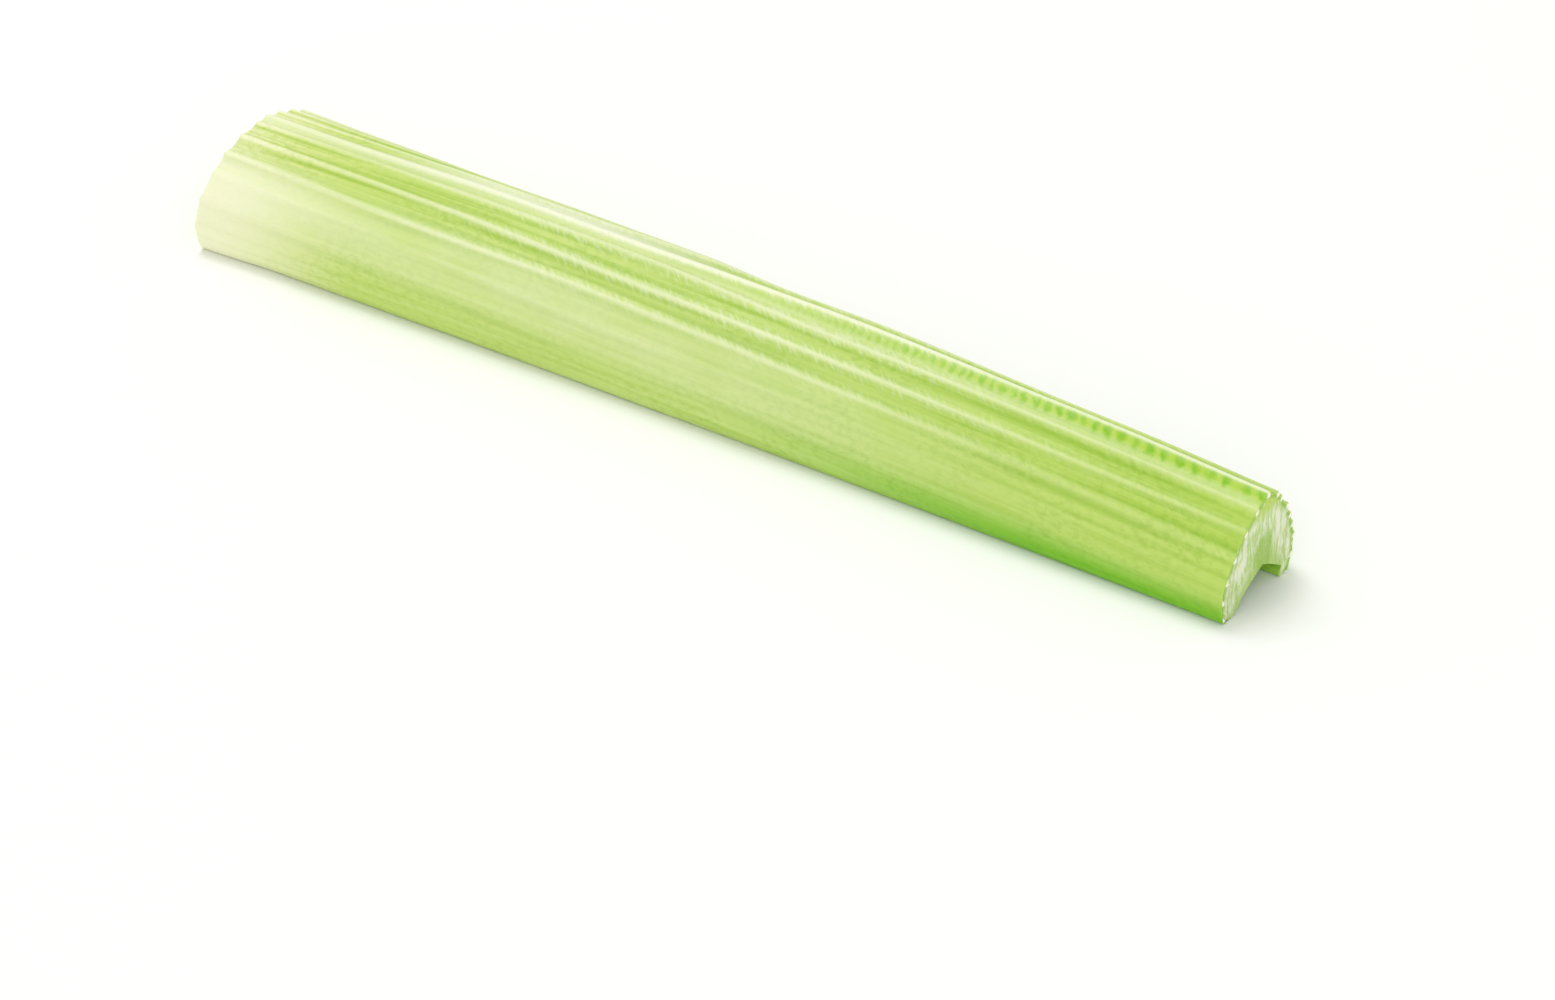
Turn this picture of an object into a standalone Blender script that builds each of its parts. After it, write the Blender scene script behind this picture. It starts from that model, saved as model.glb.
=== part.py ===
"""Cut stick of celery: one leaf stalk, lying with its channel down on the channel's two margins.

Frame: the origin is on the surface under the middle of the stick, +X runs along the stick to the
narrow leaf-side cut, +Y runs across it and +Z runs up to the keel. All sizes are in metres.
The base cut is at -X and the leaf-side cut, called the tip here, is at +X.
"""

import math

import bmesh
import bpy

MM = 0.001

# Overall sizes, without the ribs.
LENGTH = 165.0 * MM
BASE_WIDTH = 26.5 * MM
TIP_WIDTH = 17.0 * MM
BASE_HEIGHT = 14.6 * MM
TIP_HEIGHT = 14.4 * MM

# Flesh around the channel: the wall is over the channel's roof, the margin is beside its mouth.
BASE_WALL = 8.2 * MM
TIP_WALL = 10.2 * MM
BASE_MARGIN = 4.4 * MM
TIP_MARGIN = 3.7 * MM

# Each margin ends in a flat strip that the stick rests on, rounded off on both sides.
FOOT_WIDTH = 1.3 * MM
OUTER_ROUND = 4.2 * MM
INNER_ROUND = 1.6 * MM

# How the stick departs from a straight loft between its two cuts.
CREST_RISE = 1.8 * MM
SIDE_BOW = 0.6 * MM
KEEL_OFFSET = 1.5 * MM
CHANNEL_OFFSET = 1.1 * MM
FLARE_WIDTH = 1.2 * MM
FLARE_LENGTH = 14.0 * MM

# Sharpness of an arch: 2 is an ellipse, and less is more like a roof. The first pair is the
# outside from side to keel, and the second is the channel.
BASE_ARCH = 1.85
TIP_ARCH = 1.45
BASE_CHANNEL_ARCH = 1.7
TIP_CHANNEL_ARCH = 1.08

# Ribs along the outside. The front is the -Y flank and the back is the +Y flank.
FRONT_RIBS = 6
BACK_RIBS = 7
KEEL_RIB = 0.45 * MM
FRONT_RIB_TOP = 0.40 * MM
FRONT_RIB_LOW = 0.12 * MM
BACK_RIB = 0.45 * MM
RIB_REACH = 0.82
RIB_NARROWNESS = 3.2

# Mesh density.
RIB_STEPS = 6
EDGE_STEPS = 4
CHANNEL_STEPS = 24
STATIONS = 28
CURVE_SAMPLES = 160

NODE_NAME = "celery_stick"
SKIN_COLOR = (0.55, 0.73, 0.28, 1.0)
SKIN_ROUGHNESS = 0.38
SHARP_ANGLE = math.radians(38.0)


def clear_scene():
    """Remove every object that the script starts with."""
    for thing in list(bpy.data.objects):
        bpy.data.objects.remove(thing, do_unlink=True)


def mix(start, end, share):
    """Value between start and end."""
    return start + (end - start) * share


def smooth(share):
    """Ease from 0 to 1 with level ends, and hold outside that range."""
    held = min(max(share, 0.0), 1.0)
    return held * held * (3.0 - 2.0 * held)


def resample(points, shares):
    """Points at the given shares of a polyline's length."""
    runs = [0.0]
    for first, second in zip(points, points[1:]):
        runs.append(runs[-1] + math.dist(first, second))
    total = runs[-1]
    placed = []
    segment = 0
    for share in shares:
        goal = share * total
        while segment < len(points) - 2 and runs[segment + 1] < goal:
            segment += 1
        part = (goal - runs[segment]) / (runs[segment + 1] - runs[segment])
        first = points[segment]
        second = points[segment + 1]
        placed.append((mix(first[0], second[0], part), mix(first[1], second[1], part)))
    return placed


def flank_curve(size):
    """Fine outline of one flank, from the keel down and out to the foot's outer edge, on +Y."""
    points = []
    power = 2.0 / size["arch"]
    for step in range(CURVE_SAMPLES + 1):
        angle = 0.5 * math.pi * (1.0 - step / CURVE_SAMPLES)
        across = size["half_width"] * max(math.cos(angle), 0.0) ** power
        above = (size["height"] - OUTER_ROUND) * max(math.sin(angle), 0.0) ** power
        points.append((across, OUTER_ROUND + above))
    for step in range(1, CURVE_SAMPLES + 1):
        angle = 0.5 * math.pi * (1.0 - step / CURVE_SAMPLES)
        tuck = (size["half_width"] - size["foot_outer"]) * math.sin(angle)
        points.append((size["foot_outer"] + tuck, OUTER_ROUND * (1.0 - math.cos(angle))))
    return points


def channel_curve(size):
    """Fine outline of the channel, from the +Y foot's inner edge over the roof to the -Y one."""
    half = []
    mouth = size["half_width"] - size["margin"]
    depth = size["height"] - size["wall"]
    power = 2.0 / size["channel_arch"]
    for step in range(CURVE_SAMPLES + 1):
        angle = 0.5 * math.pi * step / CURVE_SAMPLES
        lip = (size["foot_inner"] - mouth) * math.sin(angle)
        half.append((size["foot_inner"] - lip, INNER_ROUND * (1.0 - math.cos(angle))))
    for step in range(1, CURVE_SAMPLES + 1):
        angle = 0.5 * math.pi * step / CURVE_SAMPLES
        across = mouth * max(math.cos(angle), 0.0) ** power
        half.append((across, INNER_ROUND + (depth - INNER_ROUND) * math.sin(angle) ** power))
    other = [(-across, above) for across, above in reversed(half[:-1])]
    return half + other


def raise_ribs(points, shares, crests):
    """Push a flank's points out along their normals where ribs run.

    The crests are the ribs' heights, evenly spaced from the keel's at share 0 to RIB_REACH.
    """
    last = len(crests) - 1
    spacing = RIB_REACH / last
    raised = []
    for index, (point, share) in enumerate(zip(points, shares)):
        rib = min(round(share / spacing), last)
        off_center = min(abs(share - rib * spacing) / spacing, 0.5)
        bump = crests[rib] * math.cos(math.pi * off_center) ** RIB_NARROWNESS
        before = points[max(index - 1, 0)]
        after = points[min(index + 1, len(points) - 1)]
        along = (after[0] - before[0], after[1] - before[1])
        if index == 0:
            along = (1.0, 0.0)
        size = math.hypot(along[0], along[1])
        raised.append((point[0] - bump * along[1] / size, point[1] + bump * along[0] / size))
    return raised


def rib_crests(ribs, top_height, low_height):
    """Heights of the keel's rib and of a flank's ribs, from the top one to the lowest."""
    heights = [mix(top_height, low_height, index / max(ribs - 1, 1)) for index in range(ribs)]
    return [KEEL_RIB] + heights


def flank_shares(ribs):
    """Shares of a flank's length for its points: even steps over the ribs, then down to the foot."""
    over_ribs = ribs * RIB_STEPS
    shares = [RIB_REACH * step / over_ribs for step in range(over_ribs + 1)]
    shares += [mix(RIB_REACH, 1.0, step / EDGE_STEPS) for step in range(1, EDGE_STEPS + 1)]
    return shares


def section_size(share):
    """Sizes of the cross-section at a share of the length, 0 at the base and 1 at the tip."""
    along = share * LENGTH
    flare = FLARE_WIDTH * (1.0 - smooth(along / FLARE_LENGTH))
    width = mix(BASE_WIDTH, TIP_WIDTH, share) + flare
    margin = mix(BASE_MARGIN, TIP_MARGIN, share)
    half_width = 0.5 * width
    foot_center = half_width - 0.5 * margin
    return {
        "half_width": half_width,
        "height": mix(BASE_HEIGHT, TIP_HEIGHT, share) + CREST_RISE * math.sin(math.pi * share),
        "wall": mix(BASE_WALL, TIP_WALL, share) + CREST_RISE * math.sin(math.pi * share),
        "margin": margin,
        "foot_outer": foot_center + 0.5 * FOOT_WIDTH,
        "foot_inner": foot_center - 0.5 * FOOT_WIDTH,
        "arch": mix(BASE_ARCH, TIP_ARCH, share),
        "channel_arch": mix(BASE_CHANNEL_ARCH, TIP_CHANNEL_ARCH, share),
        "bow": SIDE_BOW * math.sin(math.pi * share),
    }


def section_ring(share):
    """Closed ring of (y, z) points of the section, from the -Y foot over the keel and back."""
    size = section_size(share)
    curve = flank_curve(size)
    front_shares = flank_shares(FRONT_RIBS)
    front_crests = rib_crests(FRONT_RIBS, FRONT_RIB_TOP, FRONT_RIB_LOW)
    front = raise_ribs(resample(curve, front_shares), front_shares, front_crests)
    back_shares = flank_shares(BACK_RIBS)
    back_crests = rib_crests(BACK_RIBS, BACK_RIB, BACK_RIB)
    back = raise_ribs(resample(curve, back_shares), back_shares, back_crests)
    channel_shares = [step / CHANNEL_STEPS for step in range(CHANNEL_STEPS + 1)]
    channel = resample(channel_curve(size), channel_shares)
    ring = [(-across, above) for across, above in reversed(front)] + back[1:] + channel
    placed = []
    for index, (across, above) in enumerate(ring):
        lean = KEEL_OFFSET * (above / size["height"]) ** 2
        if index >= len(ring) - len(channel):
            lean += CHANNEL_OFFSET * smooth(above / INNER_ROUND)
        placed.append((across + lean + size["bow"], above))
    return placed


def add_ring(mesh, share):
    """Add one closed ring of edges across the stick and return its edges."""
    x = (share - 0.5) * LENGTH
    verts = [mesh.verts.new((x, across, above)) for across, above in section_ring(share)]
    return [mesh.edges.new((first, second)) for first, second in zip(verts, verts[1:] + verts[:1])]


def center_across(solid):
    """Move the solid along Y so that the middle of its width is at Y = 0."""
    across = [vert.co.y for vert in solid.verts]
    middle = 0.5 * (min(across) + max(across))
    bmesh.ops.translate(solid, verts=solid.verts, vec=(0.0, -middle, 0.0))


def build_stick():
    """Loft the stalk through its rings, cut it flat at both ends and return its object."""
    solid = bmesh.new()
    rings = [add_ring(solid, index / STATIONS) for index in range(STATIONS + 1)]
    for first, second in zip(rings, rings[1:]):
        bmesh.ops.bridge_loops(solid, edges=first + second)
    for cut in (rings[0], rings[-1]):
        bmesh.ops.contextual_create(solid, geom=cut)
    bmesh.ops.recalc_face_normals(solid, faces=solid.faces)
    center_across(solid)
    mesh = bpy.data.meshes.new(NODE_NAME)
    solid.to_mesh(mesh)
    solid.free()
    mesh.shade_smooth()
    mesh.set_sharp_from_angle(angle=SHARP_ANGLE)
    stick = bpy.data.objects.new(NODE_NAME, mesh)
    bpy.context.scene.collection.objects.link(stick)
    return stick


def skin_material():
    """Moist pale green skin."""
    material = bpy.data.materials.new("celery_skin")
    material.use_nodes = True
    shader = material.node_tree.nodes["Principled BSDF"]
    shader.inputs["Base Color"].default_value = SKIN_COLOR
    shader.inputs["Roughness"].default_value = SKIN_ROUGHNESS
    shader.inputs["Metallic"].default_value = 0.0
    return material


clear_scene()
build_stick().data.materials.append(skin_material())
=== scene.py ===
"""Cut celery stick: the finished look of one leaf stalk, resting on the margins of its channel.

The stalk is shaped from one block. A flat grid is pulled down in layers, and every point of the
block then goes to its place in the stalk: the block's length runs from the base cut to the
leaf-side cut, its width runs from the front foot over the keel to the back foot, and its layers
run from the skin through the flesh to the channel. The materials read those same growth
directions, so strands, streaks and cut faces follow the plant and not the world.

Sizes in the classes are in millimetres, and everything placed in Blender is in metres.
"""

import logging
import math
from dataclasses import dataclass
from enum import Enum
from typing import Any

import bpy
import numpy as np
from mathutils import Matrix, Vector


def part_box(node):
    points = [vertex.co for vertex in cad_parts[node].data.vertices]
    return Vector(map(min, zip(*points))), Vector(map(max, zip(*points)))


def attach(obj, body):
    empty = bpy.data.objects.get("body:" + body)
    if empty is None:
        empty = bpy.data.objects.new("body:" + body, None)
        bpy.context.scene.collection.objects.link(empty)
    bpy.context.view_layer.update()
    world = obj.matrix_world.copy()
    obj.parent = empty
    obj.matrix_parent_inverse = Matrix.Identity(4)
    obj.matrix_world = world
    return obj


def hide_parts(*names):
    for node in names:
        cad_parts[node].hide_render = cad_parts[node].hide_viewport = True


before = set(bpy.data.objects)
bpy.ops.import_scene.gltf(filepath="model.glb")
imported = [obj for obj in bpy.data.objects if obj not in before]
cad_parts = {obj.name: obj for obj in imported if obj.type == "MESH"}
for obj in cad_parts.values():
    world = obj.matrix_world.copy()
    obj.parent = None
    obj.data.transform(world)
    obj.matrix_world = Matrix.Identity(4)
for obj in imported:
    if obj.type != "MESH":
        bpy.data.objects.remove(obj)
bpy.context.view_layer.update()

NODE = "celery_stick"
BODY = "root"
MM = 0.001

MATH = "ShaderNodeMath"
VECTOR_MATH = "ShaderNodeVectorMath"
Socket = bpy.types.NodeSocket
# A mask: its source, the source values where it starts and ends, and its own values at those two.
Mask = tuple[Any, ...]
# A tint: its hex colour, how it blends, and its masks.
Tint = tuple[str, str, tuple[Mask, ...]]

log = logging.getLogger("celery_stick")


class Zone(Enum):
    """Part of the stalk's surface, with the slot number of its material."""

    SKIN = 0
    CHANNEL = 1
    CUT = 2


class Growth(Enum):
    """Attributes that carry the plant's own directions to the materials."""

    # Around from the keel, along from the base and down from the skin, in millimetres.
    PLACE = "growth_place"
    # Rib number from the keel, crest strength, and share of the way from skin to channel.
    ORDER = "growth_order"


def linear_color(hex_code: str) -> tuple[float, float, float, float]:
    """Turn an sRGB hex colour into a linear one.

    Args:
        hex_code: Colour as six hex digits, with or without a leading hash.

    Returns:
        Linear red, green, blue and an alpha of 1.
    """
    digits = hex_code.lstrip("#")
    channels = [int(digits[start:start + 2], 16) / 255.0 for start in (0, 2, 4)]
    linear = [part / 12.92 if part <= 0.04045 else ((part + 0.055) / 1.055) ** 2.4 for part in channels]
    return (linear[0], linear[1], linear[2], 1.0)


def deselect() -> None:
    """Leave nothing selected, so that an operator acts only on what is added next."""
    if bpy.context.mode != "OBJECT":
        bpy.ops.object.mode_set(mode="OBJECT")
    bpy.ops.object.select_all(action="DESELECT")


def smooth_noise(seed: int, knots: int, places: np.ndarray) -> np.ndarray:
    """Smooth seeded noise along a line.

    Args:
        seed: Seed of the random draw.
        knots: Number of random values spread over the line.
        places: Places on the line, from 0 to 1.

    Returns:
        Values from -1 to 1 at those places.
    """
    values = np.random.default_rng(seed).uniform(-1.0, 1.0, knots + 3)
    scaled = np.clip(places, 0.0, 1.0) * knots
    left = np.minimum(scaled.astype(int), knots)
    part = scaled - left
    eased = part * part * (3.0 - 2.0 * part)
    return values[left] * (1.0 - eased) + values[left + 1] * eased


def resample(points: np.ndarray, shares: np.ndarray) -> np.ndarray:
    """Points at given shares of a polyline's length.

    Args:
        points: Polyline, one point a row.
        shares: Shares of its length, from 0 to 1.

    Returns:
        One point a row for each share.
    """
    runs = np.concatenate([[0.0], np.cumsum(np.linalg.norm(np.diff(points, axis=0), axis=1))])
    goals = shares * runs[-1]
    return np.stack([np.interp(goals, runs, points[:, axis]) for axis in range(2)], axis=1)


@dataclass(frozen=True)
class Profile:
    """Sizes of the stalk's cross-section in millimetres, in pairs at the base cut and the tip cut."""

    length: float = 165.0
    width: tuple[float, float] = (26.5, 17.0)
    height: tuple[float, float] = (14.6, 14.4)
    wall: tuple[float, float] = (8.2, 10.2)
    margin: tuple[float, float] = (4.4, 3.7)
    # Sharpness of the outside and of the channel: 2 is an ellipse, and less is more like a roof.
    arch: tuple[float, float] = (1.85, 1.45)
    channel_arch: tuple[float, float] = (1.7, 1.08)
    foot_width: float = 1.3
    outer_round: float = 4.2
    inner_round: float = 1.6
    crest_rise: float = 1.8
    side_bow: float = 0.6
    keel_offset: float = 1.5
    channel_offset: float = 1.1
    flare_width: float = 1.2
    flare_length: float = 14.0
    samples: int = 240

    def sizes(self, share: float) -> dict[str, float]:
        """Sizes of the section at one place along the stalk.

        Args:
            share: Share of the length, 0 at the base and 1 at the tip.

        Returns:
            Named sizes in millimetres.
        """
        pairs = (self.width, self.height, self.wall, self.margin, self.arch, self.channel_arch)
        width, height, wall, margin, arch, channel_arch = (base + (tip - base) * share for base, tip in pairs)
        held = min(share * self.length / self.flare_length, 1.0)
        width += self.flare_width * (1.0 - held * held * (3.0 - 2.0 * held))
        foot_center = 0.5 * (width - margin)
        return {
            "half_width": 0.5 * width,
            "height": height + self.crest_rise * math.sin(math.pi * share),
            "depth": height - wall,
            "mouth": 0.5 * width - margin,
            "foot_outer": foot_center + 0.5 * self.foot_width,
            "foot_inner": foot_center - 0.5 * self.foot_width,
            "arch": arch,
            "channel_arch": channel_arch,
            "bow": self.side_bow * math.sin(math.pi * share),
        }

    def skin(self, size: dict[str, float]) -> np.ndarray:
        """Fine outline of the outside, without ribs, from the front foot over the keel.

        Args:
            size: Sizes of the section.

        Returns:
            Points of the outline, across and above, one a row.
        """
        angle = np.linspace(0.5 * np.pi, 0.0, self.samples)
        power = 2.0 / size["arch"]
        across = size["half_width"] * np.clip(np.cos(angle), 0.0, 1.0) ** power
        above = self.outer_round + (size["height"] - self.outer_round) * np.sin(angle) ** power
        tuck = (size["half_width"] - size["foot_outer"]) * np.sin(angle)
        low = np.stack([size["foot_outer"] + tuck, self.outer_round * (1.0 - np.cos(angle))], axis=1)
        back = np.concatenate([np.stack([across, above], axis=1), low[1:]])
        front = back[::-1] * np.array([-1.0, 1.0])
        return np.concatenate([front[:-1], back])

    def channel(self, size: dict[str, float]) -> np.ndarray:
        """Fine outline of the channel, from the front foot over its roof to the back foot.

        Args:
            size: Sizes of the section.

        Returns:
            Points of the outline, across and above, one a row.
        """
        angle = np.linspace(0.0, 0.5 * np.pi, self.samples)
        lip = (size["foot_inner"] - size["mouth"]) * np.sin(angle)
        low = np.stack([size["foot_inner"] - lip, self.inner_round * (1.0 - np.cos(angle))], axis=1)
        power = 2.0 / size["channel_arch"]
        roof_height = self.inner_round + (size["depth"] - self.inner_round) * np.sin(angle) ** power
        roof = np.stack([size["mouth"] * np.clip(np.cos(angle), 0.0, 1.0) ** power, roof_height], axis=1)
        back = np.concatenate([low, roof[1:]])
        front = back * np.array([-1.0, 1.0])
        return np.concatenate([front, back[::-1][1:]])


@dataclass(frozen=True)
class Rib:
    """One rib's place, as a share of the way from the keel to the foot, and its height, at both cuts."""

    base_place: float
    tip_place: float
    base_height: float
    tip_height: float


@dataclass(frozen=True)
class Ribs:
    """The strands that stand up as ribs, numbered from the keel: the front ones are negative."""

    keel: Rib = Rib(0.0, 0.0, 0.50, 0.42)
    front: tuple[Rib, ...] = (
        Rib(0.07, 0.16, 0.30, 0.34),
        Rib(0.205, 0.31, 0.52, 0.20),
        Rib(0.345, 0.47, 0.46, 0.10),
        Rib(0.48, 0.64, 0.18, 0.06),
        Rib(0.62, 0.79, 0.14, 0.07),
        Rib(0.80, 0.93, 0.12, 0.06),
    )
    back: tuple[Rib, ...] = (
        Rib(0.12, 0.13, 0.50, 0.40),
        Rib(0.24, 0.23, 0.52, 0.30),
        Rib(0.36, 0.37, 0.50, 0.36),
        Rib(0.48, 0.48, 0.44, 0.24),
        Rib(0.60, 0.61, 0.46, 0.32),
        Rib(0.72, 0.71, 0.38, 0.22),
        Rib(0.84, 0.84, 0.34, 0.24),
    )
    # Half-width of a crest in millimetres at the base cut and at the tip cut.
    base_width: float = 0.46
    tip_width: float = 0.26
    # Power of the share along the stalk: under 1, crests narrow sooner near the base.
    narrowing: float = 0.6
    # How much wider than the others the keel's crest is at the base.
    keel_spread: float = 2.6
    # Share of a rib's height that lies in its narrow crest and not in its broad swell.
    crest_part: float = 0.45
    # How far a crest wanders, as a share of the outline, and how much its height varies.
    wander: float = 0.008
    swell: float = 0.22
    wander_seed: int = 41
    swell_seed: int = 101

    def numbers(self) -> np.ndarray:
        """Number the ribs from the front foot to the back foot.

        Returns:
            Rib numbers, with the keel as 0.
        """
        return np.arange(-len(self.front), len(self.back) + 1)

    def in_order(self) -> list[Rib]:
        """List the ribs from the front foot to the back foot.

        Returns:
            Ribs in the order of their numbers.
        """
        return list(reversed(self.front)) + [self.keel] + list(self.back)

    def centers(self, share: float) -> np.ndarray:
        """Places of the crests around the skin at one place along the stalk.

        Args:
            share: Share of the length.

        Returns:
            Share of the skin's outline for each rib.
        """
        placed = []
        for number, rib in zip(self.numbers(), self.in_order()):
            place = rib.base_place + (rib.tip_place - rib.base_place) * share
            drift = self.wander * smooth_noise(self.wander_seed + int(number), 5, np.array([share]))[0]
            placed.append(0.5 + 0.5 * np.sign(number) * place + drift)
        return np.array(placed)

    def relief(self, share: float, around: np.ndarray, girth: float) -> tuple[np.ndarray, ...]:
        """Height of the ribs around one section.

        Args:
            share: Share of the length.
            around: Shares of the skin's outline.
            girth: Length of the skin's outline in millimetres.

        Returns:
            Height in millimetres, crest strength from 0 to 1, and rib number with its fraction.
        """
        centers = self.centers(share)
        numbers = self.numbers()
        # One more rib beyond each foot keeps the numbering even down to the floor.
        edge_front = centers[0] - (centers[1] - centers[0])
        edge_back = centers[-1] + (centers[-1] - centers[-2])
        all_centers = np.concatenate([[edge_front], centers, [edge_back]])
        all_numbers = np.concatenate([[numbers[0] - 1], numbers, [numbers[-1] + 1]])
        lane = np.interp(around, all_centers, all_numbers)
        width = self.base_width + (self.tip_width - self.base_width) * share ** self.narrowing
        height = np.zeros_like(around)
        crest = np.zeros_like(around)
        for number, rib, center in zip(numbers, self.in_order(), centers):
            crest_height = rib.base_height + (rib.tip_height - rib.base_height) * share
            noise = smooth_noise(self.swell_seed + int(number), 9, np.array([share]))[0]
            swell = 1.0 + self.swell * noise
            off = np.clip(lane - number, -0.5, 0.5)
            broad = np.cos(np.pi * off) ** 2
            spread = width
            if number == 0:
                spread = width * (self.keel_spread + (1.0 - self.keel_spread) * share)
            narrow = np.exp(-(((around - center) * girth / spread) ** 2))
            shape = (1.0 - self.crest_part) * broad + self.crest_part * narrow
            height += crest_height * swell * shape
            crest = np.maximum(crest, narrow * min(crest_height / self.keel.tip_height, 1.0))
        return height, crest, lane


@dataclass
class Stalk:
    """The whole stick: skin, channel and both cut faces as one closed mesh."""

    profile: Profile = Profile()
    ribs: Ribs = Ribs()
    # Block divisions along, around and through.
    stations: int = 150
    columns: int = 230
    layers: int = 20
    # Distances of the stations that crowd towards each cut, in millimetres.
    end_steps: tuple[float, ...] = (0.0, 0.07, 0.16, 0.3, 0.55, 1.0, 1.7)
    edge_round: float = 0.16
    # Over 1, the layers crowd under the skin.
    layer_crowding: float = 1.35
    # Share of the outline, at each foot, over which the ribs die out.
    foot_fade: float = 0.03
    # Strand ends that stand proud of the cut, in millimetres.
    bead_height: float = 0.30
    bead_radius: float = 0.34
    bead_depth: float = 0.26
    rib_spacing: float = 3.0
    # Height of the torn cells on a cut, their waves for each millimetre, and how far the flesh sinks.
    cut_roughness: float = 0.07
    cell_waves: tuple[float, float, float] = (4.1, 3.3, 5.3)
    cut_sunk: float = 0.12
    # Height of the slow waves in the skin, with their turns around and along.
    undulation: float = 0.10
    wave_turns: tuple[float, float] = (9.0, 5.0)
    wave_seed: int = 7
    smooth_angle: float = 50.0

    def build(self) -> bpy.types.Object:
        """Make the stalk, dressed and placed where the frame's node is.

        Returns:
            The finished object.
        """
        block = self.carve_block()
        station, column, layer = self.block_places(block)
        points, growth_place, growth_order = self.shape(station, column, layer)
        points = self.fit_to_frame(points)
        block.data.vertices.foreach_set("co", points.astype(np.float32).ravel())
        for name, values in ((Growth.PLACE, growth_place), (Growth.ORDER, growth_order)):
            attribute = block.data.attributes.new(name.value, "FLOAT_VECTOR", "POINT")
            attribute.data.foreach_set("vector", values.astype(np.float32).ravel())
        self.zone_faces(block, station, layer)
        block.data.update()
        self.finish_surface(block)
        return block

    def carve_block(self) -> bpy.types.Object:
        """Pull a grid down in layers until it is a closed block one metre each way.

        Returns:
            The block, with its top left at 0 and its layers going down to -1.
        """
        deselect()
        bpy.ops.mesh.primitive_grid_add(
            x_subdivisions=self.stations, y_subdivisions=self.columns, size=1.0, location=(0.0, 0.0, 0.0)
        )
        block = bpy.context.active_object
        block.name = "celery_stalk"
        block.data.name = "celery_stalk"
        bpy.ops.object.mode_set(mode="EDIT")
        bpy.ops.mesh.select_all(action="SELECT")
        for _ in range(self.layers):
            bpy.ops.mesh.extrude_region_move(
                TRANSFORM_OT_translate={"value": (0.0, 0.0, -1.0 / self.layers)}
            )
        bpy.ops.mesh.select_all(action="SELECT")
        bpy.ops.mesh.normals_make_consistent(inside=False)
        bpy.ops.object.mode_set(mode="OBJECT")
        return block

    def block_places(self, block: bpy.types.Object) -> tuple[np.ndarray, np.ndarray, np.ndarray]:
        """Read where each point lies in the block.

        Args:
            block: The block, not yet shaped.

        Returns:
            Station, column and layer number of every point.
        """
        coords = np.empty(len(block.data.vertices) * 3, dtype=np.float32)
        block.data.vertices.foreach_get("co", coords)
        coords = coords.reshape(-1, 3)
        station = np.rint((coords[:, 0] + 0.5) * self.stations).astype(int)
        column = np.rint((coords[:, 1] + 0.5) * self.columns).astype(int)
        layer = np.rint(-coords[:, 2] * self.layers).astype(int)
        return station, column, layer

    def station_places(self) -> np.ndarray:
        """Spread the stations along the stalk, crowded towards both cuts.

        Returns:
            Distances from the base in millimetres.
        """
        ends = np.array(self.end_steps)
        length = self.profile.length
        middle_count = self.stations + 1 - 2 * len(ends)
        middle = np.linspace(ends[-1], length - ends[-1], middle_count + 2)[1:-1]
        return np.concatenate([ends, middle, length - ends[::-1]])

    def shape(
        self, station: np.ndarray, column: np.ndarray, layer: np.ndarray
    ) -> tuple[np.ndarray, np.ndarray, np.ndarray]:
        """Work out where every point of the block goes in the stalk.

        Args:
            station: Station number of each point.
            column: Column number of each point.
            layer: Layer number of each point.

        Returns:
            Positions in millimetres, and the two growth attributes, one row for each point.
        """
        around = np.linspace(0.0, 1.0, self.columns + 1)
        through = (np.arange(self.layers + 1) / self.layers) ** self.layer_crowding
        along = self.station_places()
        sections = [self.section(distance, around) for distance in along]
        skin, inner, turn, crest, lane = (np.stack(rows) for rows in zip(*sections))
        share = through[layer]
        outer_points = skin[station, column]
        inner_points = inner[station, column]
        placed = outer_points * (1.0 - share[:, None]) + inner_points * share[:, None]
        depth = np.linalg.norm(placed - outer_points, axis=1)
        distance = along[station]
        relief = self.cut_relief(station, depth, lane[station, column], turn[station, column], share)
        facing = np.where(station == 0, -1.0, np.where(station == self.stations, 1.0, 0.0))
        from_middle = distance - 0.5 * self.profile.length + facing * relief
        positions = np.stack([from_middle, placed[:, 0], placed[:, 1]], axis=1)
        positions[:, 2] = np.maximum(positions[:, 2], 0.0)
        place = np.stack([turn[station, column], distance, depth], axis=1)
        order = np.stack([lane[station, column], crest[station, column], share], axis=1)
        return positions, place, order

    def section(self, distance: float, around: np.ndarray) -> tuple[np.ndarray, ...]:
        """Outlines of one section with its ribs.

        Args:
            distance: Distance from the base in millimetres.
            around: Shares of the outline, from the front foot to the back foot.

        Returns:
            Skin points, channel points, distance around from the keel, crest strength and rib number.
        """
        length = self.profile.length
        share = distance / length
        size = self.profile.sizes(share)
        bare = resample(self.profile.skin(size), around)
        inner = resample(self.profile.channel(size), around)
        tangent = np.gradient(bare, axis=0)
        tangent /= np.linalg.norm(tangent, axis=1)[:, None]
        normal = np.stack([-tangent[:, 1], tangent[:, 0]], axis=1)
        girth = np.linalg.norm(np.diff(bare, axis=0), axis=1).sum()
        height, crest, lane = self.ribs.relief(share, around, girth)
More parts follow.
